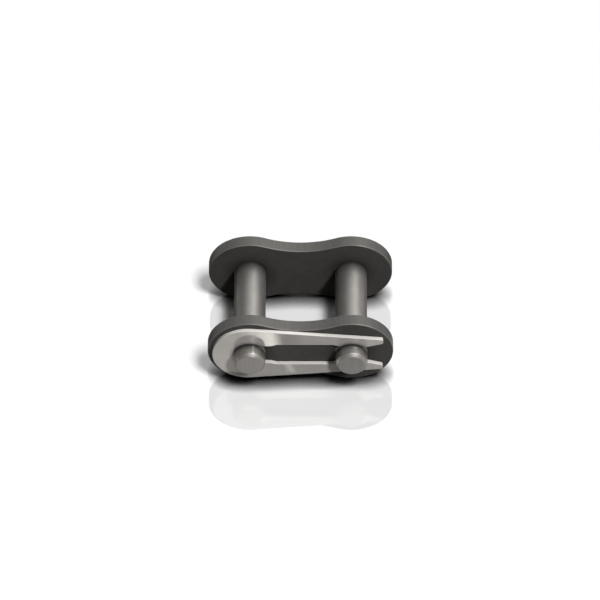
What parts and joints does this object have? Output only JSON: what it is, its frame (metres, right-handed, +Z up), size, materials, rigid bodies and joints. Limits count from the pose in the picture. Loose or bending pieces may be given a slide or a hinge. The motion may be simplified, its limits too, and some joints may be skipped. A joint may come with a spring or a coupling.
{
  "type": "chain connecting link",
  "caption": "Roller chain connecting link with pins riveted in a waisted plate, a slip-fit cover plate and a spring clip in the pin grooves.",
  "frame": {"origin": "midway between the two pin axes, halfway between the plates", "axes": "+X along the chain, from the clip's closed end towards its tips; -Y along the pins, out towards the spring clip; +Z up, across the chain"},
  "size_m": [0.0462, 0.0354, 0.0208],
  "materials": {
    "plate_steel": "heat-treated dark grey steel, tumbled, satin",
    "pin_steel": "ground mid-grey steel, satin",
    "clip_steel": "bright spring steel, smooth"
  },
  "bodies": {
    "pin_link": {"pin_link_plate": "plate_steel", "link_pin_left": "pin_steel", "link_pin_right": "pin_steel"},
    "cover": {"cover_plate": "plate_steel"},
    "clip": {"spring_clip": "clip_steel"}
  },
  "joints": [
    {"name": "cover_plate_slide", "type": "slide", "parent": "pin_link", "child": "cover", "axis": [0, 1, 0], "range_m": [0, 0.02265]},
    {"name": "clip_slide", "type": "slide", "parent": "pin_link", "child": "clip", "axis": [-1, 0, 0], "range_m": [0, 0.038], "deforming": ["spring_clip"]}
  ]
}
